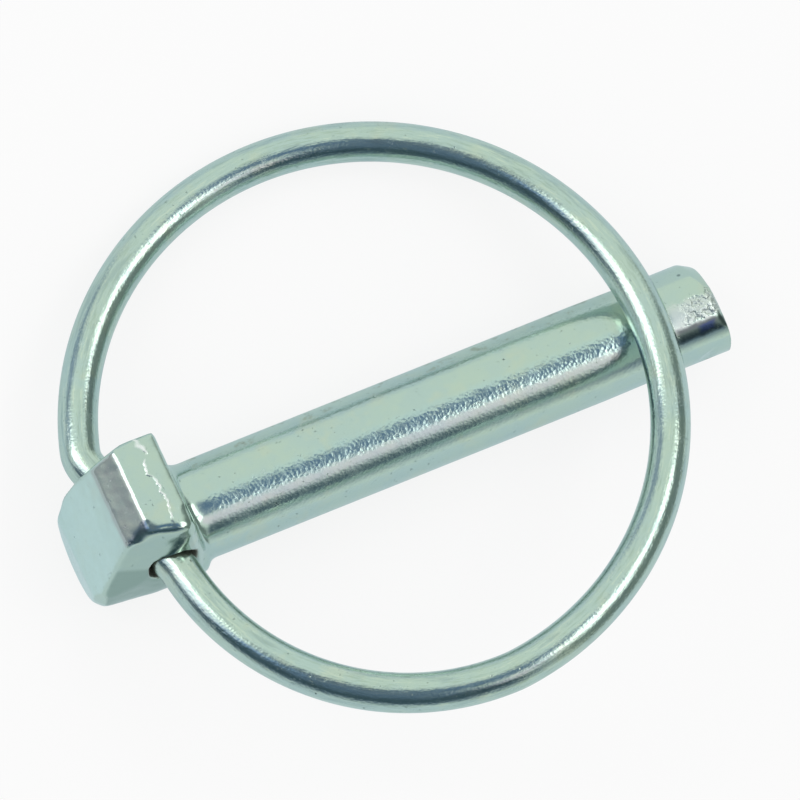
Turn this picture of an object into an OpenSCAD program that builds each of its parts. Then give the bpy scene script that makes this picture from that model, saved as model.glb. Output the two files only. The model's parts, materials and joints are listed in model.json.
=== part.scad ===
// Linch pin: a forged pin with a cross-bored head, and a sprung wire ring that swings in
// the bore and closes over the far end of the shank.
//
// Pin frame: X runs along the shank from the shoulder (0) to the tip, Z points to the side
// that the closed ring lies on. lie_down() takes that frame to the finished pose, in which
// the pin has rolled on its round underside until the rim of the ring touches the surface.

/* [Shank] */
// Diameter of the shank
shank_d = 8; // [5:0.1:12]
// Length of the straight part of the shank, from the shoulder
grip_len = 35; // [30:0.5:36]
// How much the shank is drawn down beyond it, on the diameter
drawn_down = 0.12; // [0.06:0.02:0.3]
// Length over which it is drawn down
draw_len = 4; // [2:0.5:5]
// Length of shank beyond the wire of the closed ring
tip_beyond_ring = 6.4; // [4:0.1:9]
// Chamfer round the cropped end, measured across the shank
tip_chamfer = 0.4; // [0.3:0.05:1]
// How far the chamfer sits off centre, away from the side that cropping rolls over
tip_off_centre = 0.2; // [0:0.05:0.25]
// Slope of that chamfer, in degrees from the axis
tip_chamfer_slope = 32; // [20:1:50]
// Slant of the cropped end across the shank, in degrees
tip_slant = 3.5; // [0.5:0.5:6]
// Depth of the roll-over that cropping leaves on one side of the end
tip_rollover = 0.45; // [0.1:0.05:0.7]
// Length of the roll-over along the shank
tip_rollover_len = 3.8; // [2:0.1:5]

/* [Head] */
// How far the round underside of the head stands out from the shank
head_step = 0.85; // [0.6:0.05:1.4]
// How much smaller the underside is at the end face
head_taper = 0.45; // [0.1:0.05:0.8]
// Length of the untapered part of the underside
belly_len = 4.6; // [2:0.1:6]
// Corner taken off the underside at the end face
nose = 0.9; // [0.4:0.05:1.3]
// Height of the hinge bore above the axis of the shank
bore_rise = 3.8; // [3:0.1:4.6]
// Metal between the top of the bore and the flat crown
crown_wall = 3.55; // [2:0.05:5]
// Width of the crown across the head
crown_width = 9; // [7.8:0.1:9.4]
// How far the upper part of the head sits off centre, where the two forging dies met out of line
crown_shift = 0.25; // [0:0.05:0.3]
// Length of the crown along the shank
crown_len = 3.65; // [2.5:0.05:4.5]
// Length of the shallow bevel along the front of the crown
front_bevel_len = 1.2; // [0.6:0.1:1.6]
// Drop of that bevel
front_bevel_drop = 0.25; // [0.1:0.05:0.6]
// Length of the steep bevel behind the crown
back_bevel_len = 1.95; // [1:0.05:2.5]
// Drop of that bevel
back_bevel_drop = 1.7; // [1.5:0.1:3.5]
// Lean of the shoulder face, in degrees
shoulder_lean = 9.5; // [5:0.5:11]
// Metal between the shoulder and the bore, at the height of the axis
front_wall = 1.2; // [0.9:0.05:2]
// Metal between the bore and the end face, at the height of the axis
back_wall = 1.6; // [1.2:0.05:2.5]
// Height above the axis up to which the faces of the head stand upright
upright = 0.5; // [0.3:0.1:1.5]
// How far the end face is drawn in at its foot
end_undercut = 0.4; // [0.1:0.05:0.8]
// Radius of the softened edges round the crown
edge_r = 0.55; // [0.2:0.05:0.8]
// Radius of the edge round the shoulder
shoulder_r = 0.8; // [0.3:0.05:0.9]
// Fillet between the shank and the shoulder
neck_fillet = 0.8; // [0.3:0.05:0.85]

/* [Corner flats of the head] */
// How much further out the front corner flat lies on the side the crown is shifted to
front_flat_out = 0.6; // [0:0.1:0.9]
// Swing of each rear corner flat towards the end face, in degrees
flat_swing = 15.5; // [8:0.5:20]
// Lean towards the crown of the rear corner flat on the side the crown is shifted to
far_flat_lean = 11; // [8:0.5:20]
// Lean of the rear corner flat on the other side
near_flat_lean = 16; // [8:0.5:20]
// How far each rear corner flat lies inside the side of the head at the end face
flat_inset = 0.25; // [0.1:0.05:0.6]

/* [Ring] */
// Diameter of the spring wire
wire_d = 3.2; // [2:0.1:4]
// Diameter of the ring, measured at the middle of the wire
ring_d = 46.8; // [36:0.1:60]
// How far the hinge lies inside the round of the ring
hinge_inset = 2.7; // [2:0.1:4]
// Gap between the wire and the shank when the ring is closed
seat_gap = 0.1; // [0.05:0.05:0.4]
// Inside bend of the wire where the far leg turns into the head
far_bend = 1.2; // [1:0.1:3]
// Inside bend of the wire where the near leg turns into the head
near_bend = 2.2; // [2:0.1:4]
// Place on the round, in degrees from the tip, where the near leg draws in
leg_start = 85; // [75:1:95]
// Angle through which the wire draws in there, in degrees
leg_turn = 5; // [3:0.5:9]
// Radius at which the wire draws in
leg_turn_r = 8; // [6:0.5:12]
// How much tighter than the round the near leg is bent
leg_tighter = 2.8; // [2.2:0.1:3.4]

/* [Hinge bore] */
// Play of the wire in its bore, on the diameter
bore_play = 0.75; // [0.4:0.05:1]
// Skew of the bore across the head, in degrees
bore_skew = 17; // [12:0.5:19]
// Gap between the two wire ends inside the bore
end_gap = 1.2; // [0.5:0.1:3]

/* [Hidden] */
$fn = 96;
BIG = 100;
OVER = 1;

// Lap of one stretch of wire over the next, and how much larger it is made there
lap = 0.1;
lap_swell = 0.02;

// The two neck fillets: depth to which each is let into the shank, how much smaller the
// leaning one is, and how far in degrees the upright one runs up past it on each side
upright_sink = 0.03;
leaning_sink = 0.12;
leaning_less = 0.1;
upright_past = 8;

// Slight swell of the shank inside the fillets, on the radius, and where it ends
neck_swell = 0.05;
neck_len = 1;

// Facets round the wire, and how many chamfer lengths the tip cutter reaches back
wire_facets = 48;
tip_back = 3;

shank_r = shank_d / 2;
end_shank_r = shank_r - drawn_down / 2;
wire_r = wire_d / 2;
ring_r = ring_d / 2;
bore_r = (wire_d + bore_play) / 2;
head_r = shank_r + head_step;
end_r = head_r - head_taper;

// Places along the head, from the shoulder back to the end face
mouth_shift = head_r * tan(bore_skew);
mouth_half = bore_r / cos(bore_skew);
hinge_x = -(front_wall + mouth_half + mouth_shift);
head_len = front_wall + back_wall + 2 * (mouth_half + mouth_shift);
head_rise = bore_rise + bore_r + crown_wall;
crown_front = -(head_rise - upright) * tan(shoulder_lean);
crown_back = crown_front - crown_len;

// The closed ring leans up from the hinge to lie on the shank
reach = ring_r - hinge_inset;
far_reach = reach + ring_r;
ring_lean = asin((shank_r + seat_gap + wire_r - bore_rise) / far_reach);
crossing_x = hinge_x + far_reach * cos(ring_lean);
shank_len = crossing_x + tip_beyond_ring;

// Lying pose: pitch from the two ends of the underside, roll from the rim of the ring
head_foot_x = -shoulder_r;
tip_foot_x = shank_len - shank_r * tan(tip_slant) - tip_chamfer / tan(tip_chamfer_slope);
pitch = atan(head_step / (tip_foot_x - head_foot_x));
shoulder_up = head_r * cos(pitch) + head_foot_x * sin(pitch);
ring_mid_x = hinge_x + reach * cos(ring_lean);
ring_mid_z = bore_rise + reach * sin(ring_lean);
rim_up = shoulder_up - ring_mid_x * sin(pitch) - wire_r;
roll = atan2(ring_mid_z, ring_r) + asin(rim_up / norm([ring_mid_z, ring_r]));

// Outline with softened corners: each corner is [x, y, radius]
function unit(v) = v / norm(v);
function turned(v, angle) = [
    v[0] * cos(angle) - v[1] * sin(angle),
    v[0] * sin(angle) + v[1] * cos(angle)
];
function corner_arc(before, corner, after, steps) =
    let (p = [corner[0], corner[1]], r = corner[2])
    r == 0 ? [p] :
    let (
        a = unit([before[0], before[1]] - p),
        b = unit([after[0], after[1]] - p),
        half = acos(a * b) / 2,
        middle = p + unit(a + b) * r / sin(half),
        start = p + a * r / tan(half) - middle,
        turn = sign(b[0] * a[1] - b[1] * a[0]) * (180 - 2 * half)
    )
    [for (k = [0:steps]) middle + turned(start, turn * k / steps)];
function softened(corners, steps = 5) =
    let (n = len(corners))
    [for (i = [0:n - 1])
        each corner_arc(corners[(i + n - 1) % n], corners[i], corners[(i + 1) % n], steps)];

// Side view of the head: shoulder, crown between two bevels, end face. Below the axis it
// runs out past the round underside
module head_side() {
    shoulder_run = (head_r + OVER + upright) * tan(shoulder_lean);
    end_run = end_undercut * (head_r + OVER + upright) / (head_r + upright);
    polygon(softened([
        [shoulder_run, -head_r - OVER, 0],
        [crown_front, head_rise - front_bevel_drop, edge_r],
        [crown_front - front_bevel_len, head_rise, 0],
        [crown_back, head_rise, edge_r],
        [crown_back - back_bevel_len, head_rise - back_bevel_drop, edge_r],
        [-head_len, upright, 2 * edge_r],
        [end_run - head_len, -head_r - OVER, 0],
    ]));
}

// End view of the head above the axis: the sides draw in towards the crown
module head_end() {
    sides = [for (side = [1, -1])
        let (
            top = crown_shift + side * crown_width / 2,
            run = (side * head_r - top) * (upright + OVER) / (head_rise - upright)
        )
        [side * head_r + run, top]];
    polygon(softened([
        [sides[0][0], -OVER, 0],
        [sides[0][1], head_rise, edge_r],
        [sides[1][1], head_rise, edge_r],
        [sides[1][0], -OVER, 0],
    ]));
}

// Half of the head's outline from below, as [distance from the axis, place along it]
function half_outline() = [
    [0, 0, 0],
    [head_r, 0, shoulder_r],
    [head_r, -belly_len, 0],
    [end_r, nose - head_len, 0],
    [end_r - nose - OVER, -head_len - OVER, 0],
    [0, -head_len - OVER, 0],
];

// Round underside of the head, below the axis
module underside() {
    rotate([0, 90, 0])
        rotate([0, 0, -90])
            rotate_extrude(angle = 180)
                polygon(softened(half_outline()));
}

// Block of the head above the axis
module upper_head() {
    intersection() {
        linear_extrude(head_rise + OVER)
            rotate(-90)
                union() {
                    polygon(softened(half_outline()));
                    mirror([1, 0])
                        polygon(softened(half_outline()));
                }
        translate([-head_len - 2 * OVER, 0, 0])
            rotate([90, 0, 90])
                linear_extrude(head_len + 3 * OVER)
                    head_end();
    }
}

// Space beyond a flat on one side of the head: it swings away from the side and leans
module beyond_flat(side, x, y, swing, lean) {
    translate([x, side * y, upright])
        rotate([side * lean, 0, side * swing])
            translate([-BIG / 2, side > 0 ? 0 : -BIG, -BIG / 2])
                cube(BIG);
}

module head() {
    difference() {
        intersection() {
            union() {
                underside();
                upper_head();
            }
            rotate([90, 0, 0])
                linear_extrude(2 * head_r + 2 * OVER, center = true)
                    head_side();
        }
        translate([0, crown_shift, 0])
            for (side = [-1, 1]) {
                front_y = side > 0 ? head_r + front_flat_out : head_r;
                rear_y = end_r - flat_inset + nose / 2;
                rear_lean = side > 0 ? far_flat_lean : near_flat_lean;
                beyond_flat(side, -head_len, rear_y, flat_swing, rear_lean);
                beyond_flat(side, -edge_r, front_y, -45, shoulder_lean);
            }
    }
}

// Fillet into the shoulder over part of a turn, middle of the sweep downwards
module neck(size, sink, sweep) {
    foot = shank_r - sink;
    rotate([0, 90, 0])
        rotate([0, 0, -sweep / 2])
            rotate_extrude(angle = sweep)
                difference() {
                    translate([0, -edge_r])
                        square([foot + size, size + edge_r]);
                    translate([foot + size, size])
                        circle(r = size);
                }
}

// Below the axis the shoulder is upright; above it the fillet leans with the shoulder
module both_necks() {
    neck(neck_fillet, upright_sink, 180 + 2 * upright_past);
    translate([0, 0, upright])
        rotate([0, -shoulder_lean, 0])
            translate([0, 0, -upright])
                rotate([180, 0, 0])
                    neck(neck_fillet - leaning_less, leaning_sink, 180);
}

// Straight shank, with a slight swell inside the neck fillets and drawn down before its end
module drawn_shank() {
    rotate([0, 90, 0])
        rotate_extrude()
            polygon([
                [0, -head_len / 2],
                [shank_r + neck_swell, -head_len / 2],
                [shank_r, neck_len],
                [shank_r, grip_len],
                [end_shank_r, grip_len + draw_len],
                [end_shank_r, shank_len + OVER],
                [0, shank_len + OVER],
            ]);
}

// Everything beyond the slanted, chamfered end of the shank
module beyond_tip() {
    back = tip_back * tip_chamfer / tan(tip_chamfer_slope);
    mouth_r = end_shank_r - tip_chamfer;
    translate([shank_len - shank_r * tan(tip_slant), -tip_off_centre, 0])
        rotate([0, 90, tip_slant])
            difference() {
                translate([0, 0, -back])
                    cylinder(r = shank_d, h = back + shank_d);
                translate([0, 0, -back - OVER])
                    cylinder(
                        r1 = mouth_r + (back + OVER) * tan(tip_chamfer_slope),
                        r2 = mouth_r,
                        h = back + OVER
                    );
            }
}

// Flat that cropping rolls over on one side of the end
module beyond_rollover() {
    translate([shank_len - tip_rollover_len, -shank_r, 0])
        rotate([0, 0, atan(tip_rollover / tip_rollover_len)])
            translate([0, -BIG, -BIG / 2])
                cube(BIG);
}

module shank() {
    difference() {
        drawn_shank();
        beyond_tip();
        beyond_rollover();
    }
}

module hinge_bore() {
    translate([hinge_x, 0, bore_rise])
        rotate([-90, 0, bore_skew])
            cylinder(r = bore_r, h = BIG, center = true);
}

module forged_pin() {
    difference() {
        union() {
            head();
            both_necks();
            shank();
        }
        hinge_bore();
    }
}

// Wire path, worked out in the plane of the ring with the middle of the round at [0, 0],
// the hinge at [-reach, 0] and the tip of the shank towards +X
function along(angle) = [cos(angle), sin(angle)];
hinge = [-reach, 0];
stub_way = along(90 + bore_skew);
stub_side = along(bore_skew);

// Far leg: one bend, tangent to the round from inside and to the line of the bore
far_bend_r = far_bend + wire_r;
far_angle = bore_skew + acos((far_bend_r - reach * cos(bore_skew)) / (ring_r - far_bend_r));
far_mid = (ring_r - far_bend_r) * along(far_angle);
far_stub = (far_mid - hinge) * stub_way;

// Near leg: a short draw-in, a slightly tighter leg and a small bend the other way
turn_mid = (ring_r - leg_turn_r) * along(-leg_start);
leg_r = ring_r - leg_tighter;
leg_mid = turn_mid + (leg_turn_r - leg_r) * along(-leg_start - leg_turn);
near_bend_r = near_bend + wire_r;
from_leg = hinge - near_bend_r * stub_side - leg_mid;
ahead = from_leg * stub_way;
near_stub = sqrt(ahead * ahead - from_leg * from_leg + pow(leg_r + near_bend_r, 2)) - ahead;
near_mid = hinge + near_stub * stub_way - near_bend_r * stub_side;
leg_end = atan2(near_mid[1] - leg_mid[1], near_mid[0] - leg_mid[0]);

// Long bend of the wire about a middle, from one angle to another
module bend(middle, radius, from, to, swell = 0) {
    translate([middle[0], middle[1], 0])
        rotate([0, 0, from])
            rotate_extrude(angle = to - from)
                translate([radius, 0])
                    circle(r = wire_r + swell, $fn = wire_facets);
}

// Short bend that laps over the stretches of wire on both sides of it
module lapped_bend(middle, radius, from, to) {
    extra = lap / radius * 180 / PI;
    bend(middle, radius, from - extra, to + extra, lap_swell);
}

// Straight end of the wire on the line of the bore, between two distances from the hinge
module stub(from, to) {
    translate([hinge[0], hinge[1], 0])
        rotate([-90, 0, bore_skew])
            translate([0, 0, from])
                cylinder(r = wire_r, h = to - from, $fn = wire_facets);
}

module wire_ring() {
    bend([0, 0], ring_r, -leg_start, far_angle);
    lapped_bend(far_mid, far_bend_r, far_angle, 180 + bore_skew);
    stub(end_gap / 2, far_stub);
    lapped_bend(turn_mid, leg_turn_r, -leg_start - leg_turn, -leg_start);
    bend(leg_mid, leg_r, leg_end, -leg_start - leg_turn);
    lapped_bend(near_mid, near_bend_r, leg_end + 180, bore_skew);
    stub(near_stub, -end_gap / 2);
}

// From the pin frame to the finished pose, centred over the surface
module lie_down() {
    middle_x = (shank_len - head_len) / 2;
    translate([-middle_x, -ring_mid_z * sin(roll), shoulder_up])
        rotate([0, pitch, 0])
            rotate([-roll, 0, 0])
                children();
}

module pin() {
    color([0.70, 0.77, 0.74])
        lie_down()
            forged_pin();
}

module ring() {
    color([0.62, 0.71, 0.69])
        lie_down()
            translate([hinge_x, 0, bore_rise])
                rotate([0, -ring_lean, 0])
                    translate([reach, 0, 0])
                        wire_ring();
}

pin();
ring();
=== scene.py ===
"""Looks of a linch pin: a zinc-plated forged pin and its sprung wire ring.

Lengths inside the classes are in millimetres, in the pin's own frame: X runs along the
shank from the shoulder, Y to the far side, and Z to the side that the closed ring lies on.
Meshes are handed to Blender in metres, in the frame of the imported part. A Fade is where a
thing begins to show and where it shows in full, as (none, full).
"""

from __future__ import annotations

import json
import logging
import math
from contextlib import contextmanager
from dataclasses import dataclass
from enum import Enum
from typing import Any, Iterator, NamedTuple, Sequence, Union

import bmesh
import bpy
import numpy as np
from bpy.types import Material, Mesh, Node, NodeSocket, NodeTree, Object
from mathutils import Matrix, Vector, noise

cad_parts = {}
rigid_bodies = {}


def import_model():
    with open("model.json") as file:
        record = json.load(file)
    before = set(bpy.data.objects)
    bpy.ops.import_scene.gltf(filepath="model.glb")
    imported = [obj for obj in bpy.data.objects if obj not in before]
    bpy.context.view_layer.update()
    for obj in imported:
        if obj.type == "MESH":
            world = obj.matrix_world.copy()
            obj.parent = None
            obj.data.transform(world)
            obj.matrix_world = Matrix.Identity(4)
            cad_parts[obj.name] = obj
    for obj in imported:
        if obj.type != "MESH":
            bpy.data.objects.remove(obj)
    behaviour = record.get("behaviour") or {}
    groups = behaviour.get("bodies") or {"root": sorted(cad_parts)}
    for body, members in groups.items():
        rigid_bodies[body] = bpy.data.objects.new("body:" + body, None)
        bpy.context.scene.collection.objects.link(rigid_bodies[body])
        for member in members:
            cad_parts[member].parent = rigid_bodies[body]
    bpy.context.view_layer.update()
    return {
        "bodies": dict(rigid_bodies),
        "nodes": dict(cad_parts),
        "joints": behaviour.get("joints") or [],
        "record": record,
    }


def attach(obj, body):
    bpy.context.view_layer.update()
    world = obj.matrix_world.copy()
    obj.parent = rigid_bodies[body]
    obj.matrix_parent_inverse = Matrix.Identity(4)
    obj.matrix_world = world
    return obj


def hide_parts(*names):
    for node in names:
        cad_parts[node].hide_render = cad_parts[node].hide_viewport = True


log = logging.getLogger("linch_pin")

MM = 0.001
LEAST = 1e-6  # smallest number that anything is divided by
ALONG, SIDE, UP = range(3)
Array = np.ndarray
Value = Union["Num", float]
Colour = tuple[float, float, float]
Pair = tuple[float, float]
Fade = Pair


# ---------------- node building


class Cloud(NamedTuple):
    """A noise pattern: its features a millimetre, its octaves and the finer ones' weight."""

    scale: float
    detail: float
    rough: float


@dataclass(frozen=True)
class NodeKit:
    """Adds nodes and links to one shader or geometry node tree."""

    tree: NodeTree

    def node(
        self,
        kind: str,
        settings: dict[str, Any] | None = None,
        values: dict[str | int, Any] | None = None,
    ) -> Node:
        """Adds one node: its settings first, then its inputs by name or index."""
        made = self.tree.nodes.new(kind)
        for name, value in (settings or {}).items():
            setattr(made, name, value)
        for name, value in (values or {}).items():
            self.feed(made.inputs[name], value)
        return made

    def feed(self, socket: NodeSocket, value: Any) -> None:
        """Sets a socket to a plain value, or links it to a Num or a socket."""
        if isinstance(value, Num):
            value = value.socket
        if isinstance(value, NodeSocket):
            self.tree.links.new(value, socket)
        elif socket.type == "RGBA" and len(value) == 3:
            socket.default_value = (*value, 1.0)
        else:
            socket.default_value = value

    def number(self, socket: NodeSocket) -> Num:
        """Wraps a number socket so that Python's operators work on it."""
        return Num(self, socket)

    def maths(self, operation: str, *values: Value) -> Num:
        """Adds a Math node with its inputs in order."""
        made = self.node("ShaderNodeMath", {"operation": operation}, dict(enumerate(values)))
        return self.number(made.outputs[0])

    def vector_maths(self, operation: str, *values: Any) -> Node:
        """Adds a Vector Math node with its inputs in order."""
        return self.node("ShaderNodeVectorMath", {"operation": operation}, dict(enumerate(values)))

    def dot(self, vector: Any, axis: Sequence[float]) -> Num:
        """Adds a dot product with a fixed axis."""
        return self.number(self.vector_maths("DOT_PRODUCT", vector, tuple(axis)).outputs["Value"])

    def blend(self, amount: Value, first: Any, second: Any) -> NodeSocket:
        """Mixes two colours: the first at 0, the second at 1."""
        made = self.node("ShaderNodeMix", {"data_type": "RGBA"}, {"Factor": amount})
        self.feed(made.inputs[6], first)
        self.feed(made.inputs[7], second)
        return made.outputs[2]

    def step(self, value: Num, none: float, full: float) -> Num:
        """Smooth change from 0 where the value is none to 1 where it is full."""
        low, high = sorted((none, full))
        start, stop = (0.0, 1.0) if full > none else (1.0, 0.0)
        ends = {"From Min": low, "From Max": high, "To Min": start, "To Max": stop}
        smooth = {"interpolation_type": "SMOOTHSTEP"}
        made = self.node("ShaderNodeMapRange", smooth, {"Value": value, **ends})
        return self.number(made.outputs["Result"])

    def noise(self, vector: Any, cloud: Cloud) -> Num:
        """Adds a noise texture, whose values lie about 0.5."""
        shape = {"Scale": cloud.scale, "Detail": cloud.detail, "Roughness": cloud.rough}
        made = self.node("ShaderNodeTexNoise", None, {"Vector": vector, **shape})
        return self.number(made.outputs[0])

    def cells(self, vector: Any, scale: float) -> Node:
        """Adds a Voronoi texture with so many cells a millimetre."""
        return self.node("ShaderNodeTexVoronoi", None, {"Vector": vector, "Scale": scale})

    def attribute(self, name: str) -> Node:
        """Adds a node that reads an attribute of the mesh."""
        return self.node("ShaderNodeAttribute", {"attribute_name": name})


@dataclass(frozen=True)
class Num:
    """A number socket that adds Math nodes when Python's operators are used on it."""

    kit: NodeKit
    socket: NodeSocket

    def __add__(self, other: Value) -> Num:
        """Sum."""
        return self.kit.maths("ADD", self, other)

    def __sub__(self, other: Value) -> Num:
        """Difference."""
        return self.kit.maths("SUBTRACT", self, other)

    def __rsub__(self, other: Value) -> Num:
        """Difference from a plain number."""
        return self.kit.maths("SUBTRACT", other, self)

    def __mul__(self, other: Value) -> Num:
        """Product."""
        return self.kit.maths("MULTIPLY", self, other)

    __radd__ = __add__
    __rmul__ = __mul__

    def scaled(self, by: float) -> Num:
        """Product with a fixed number, without a node where it is 1."""
        return self if by == 1.0 else self * by


# ---------------- objects and frames


def placed(name: str, data: bpy.types.ID) -> Object:
    """Adds an object with the given data to the scene."""
    made = bpy.data.objects.new(name, data)
    bpy.context.scene.collection.objects.link(made)
    return made


def aimed(made: Object, axes: Array, at: Array) -> None:
    """Moves an object and turns it to the given right, up and back, one a row."""
    turned = Matrix(axes.T.tolist()).to_4x4()
    turned.translation = Vector(at)
    made.matrix_world = turned


def settled(held: Object) -> Mesh:
    """Takes an object away and returns the mesh that its modifiers make of it."""
    seen = held.evaluated_get(bpy.context.evaluated_depsgraph_get())
    mesh = bpy.data.meshes.new_from_object(seen)
    bpy.data.objects.remove(held)
    return mesh


def rows(items: Any, name: str, width: int, kind: type = float) -> Array:
    """Reads a property of a mesh's items, one a row."""
    flat = np.empty(len(items) * width, kind)
    items.foreach_get(name, flat)
    return flat.reshape(-1, width)


@contextmanager
def edited(mesh: Mesh) -> Iterator[bmesh.types.BMesh]:
    """Opens a mesh for editing and writes it back."""
    shape = bmesh.new()
    shape.from_mesh(mesh)
    yield shape
    shape.to_mesh(mesh)
    shape.free()


@dataclass(frozen=True)
class Hinge:
    """The bore through the head, in which the wire's ends turn.

    Attributes:
        at: place of its middle, along and up.
        skew: how far it is turned across the head, in degrees.
        lean: lean of the closed ring, and so of the bore, in degrees.
    """

    at: Pair = (-4.748035, 3.8)
    skew: float = 17.0
    lean: float = 2.46929

    def middle(self) -> Array:
        """Middle of the bore in the pin's frame."""
        return np.array([self.at[0], 0.0, self.at[1]])

    def forward(self) -> Array:
        """Direction from the hinge to the middle of the closed ring."""
        return np.array([math.cos(math.radians(self.lean)), 0.0, math.sin(math.radians(self.lean))])

    def line(self) -> Array:
        """Direction of the bore, towards the far side."""
        skew = math.radians(self.skew)
        return np.array([0.0, math.cos(skew), 0.0]) - math.sin(skew) * self.forward()


@dataclass(frozen=True)
class PinFrame:
    """The pin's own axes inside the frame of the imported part.

    Attributes:
        origin: middle of the shank at the shoulder, in metres.
        axes: the pin's X, Y and Z as columns.
    """

    origin: Array
    axes: Array

    @classmethod
    def of(cls, record: dict[str, Any], hinge: Hinge) -> PinFrame:
        """Reads the frame from the record's shank mount and ring hinge."""
        shank = np.array(record["mounts"][0]["axis"], float)
        joint = record["behaviour"]["joints"][0]
        bore = -np.array(joint["axis"], float)
        shank /= np.linalg.norm(shank)
        up = np.cross(shank, bore)
        up /= np.linalg.norm(up)
        axes = np.column_stack([shank, np.cross(up, shank), up])
        origin = np.array(joint["pos_m"], float) - axes @ (hinge.middle() * MM)
        return cls(origin, axes)

    def inward(self, metres: Array) -> Array:
        """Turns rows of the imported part's metres into the pin's millimetres."""
        return (metres - self.origin) @ self.axes / MM

    def outward(self, points: Array) -> Array:
        """Turns rows of the pin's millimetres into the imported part's metres."""
        return np.asarray(points) * MM @ self.axes.T + self.origin


@dataclass(frozen=True)
class Camera:
    """Where the picture is taken from.

    Attributes:
        centre, width: middle of the picture on the object, and its width there.
        away: distance of the camera, in metres.
        sensor, clip: width of its sensor, and its nearest distance in metres.
    """

    right: Sequence[float] = (0.91224, -0.36600, 0.18402)
    up: Sequence[float] = (0.36486, 0.93015, 0.04128)
    centre: Pair = (1.948, 1.327)
    width: float = 63.49
    away: float = 1.6
    sensor: float = 36.0
    clip: float = 0.01

    def axes(self) -> Array:
        """Right, up and back as rows of a turned, square frame."""
        right = np.array(self.right) / np.linalg.norm(self.right)
        back = np.cross(right, np.array(self.up))
        back /= np.linalg.norm(back)
        return np.array([right, np.cross(back, right), back])

    def direction(self, right: float, up: float) -> Array:
        """A direction seen from the object, in degrees right of and above the camera."""
        angle = math.hypot(right, up)
        bent = math.sin(math.radians(angle)) / max(angle, LEAST)
        return np.array([right * bent, up * bent, math.cos(math.radians(angle))]) @ self.axes()

    def build(self) -> None:
        """Makes the camera and gives it to the scene."""
        data = bpy.data.cameras.new("camera")
        data.sensor_width = self.sensor
        data.lens = self.sensor * self.away / (self.width * MM)
        data.clip_start = self.clip
        made = placed("camera", data)
        axes = self.axes()
        place = (self.centre[0] * axes[0] + self.centre[1] * axes[1]) * MM
        aimed(made, axes, place + self.away * axes[2])
        bpy.context.scene.camera = made


# ---------------- finishes


class Tint(NamedTuple):
    """A colour that a mark or painted light or shade lays over the plate, and its share where it is
    full.
    """

    colour: Colour
    share: float = 1.0


class Edge(NamedTuple):
    """One edge of a marked place: a fade along one axis, and how far a pattern moves it."""

    axis: int
    none: float
    full: float
    wander: float = 0.0


class Patches(NamedTuple):
    """Patches: their pattern, where on its values they lie, and the tint they may have."""

    cloud: Cloud
    shown: Fade
    tint: Tint | None = None


@dataclass
class Surface:
    """A plated surface while its marks are added.

    It has the coordinates along, to the side and up, and all three as a vector, and what
    the shader gets so far.
    """

    kit: NodeKit
    at: Sequence[Num]
    spot: NodeSocket
    colour: Any = None
    rough: Value = 0.0
    height: Value = 0.0
    metal: Value = 1.0

    @classmethod
    def of(cls, kit: NodeKit, frame: PinFrame) -> Surface:
        """Reads the coordinates."""
        place = kit.node("ShaderNodeTexCoord").outputs["Object"]
        moved = kit.vector_maths("SUBTRACT", place, tuple(frame.origin)).outputs["Vector"]
        at = [kit.dot(moved, axis / MM) for axis in frame.axes.T]
        spot = kit.node("ShaderNodeCombineXYZ", None, dict(enumerate(at))).outputs[0]
        return cls(kit, at, spot)

    def share(self, name: str) -> Num:
        """Reads one of the mesh's shares, from 0 to 1."""
        return self.kit.number(self.kit.attribute(name).outputs["Fac"])

    def patches(self, patches: Patches) -> Num:
        """Marks off some patches."""
        return self.kit.step(self.kit.noise(self.spot, patches.cloud), *patches.shown)

    def within(self, edges: Sequence[Edge], rag: Num | None = None) -> Num:
        """Marks off a place, 1 inside all the edges, which the rag makes ragged, and 0 outside."""
        inside: Num | None = None
        for edge in edges:
            value = self.at[edge.axis]
            if rag is not None and edge.wander:
                value = value + rag.scaled(edge.wander)
            shown = self.kit.step(value, edge.none, edge.full)
            inside = shown if inside is None else inside * shown
        return inside

    def lay(self, tint: Tint, mask: Num) -> None:
        """Lays a tint over the colour where the mask is 1."""
        self.colour = self.kit.blend(mask.scaled(tint.share), self.colour, tint.colour)


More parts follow.
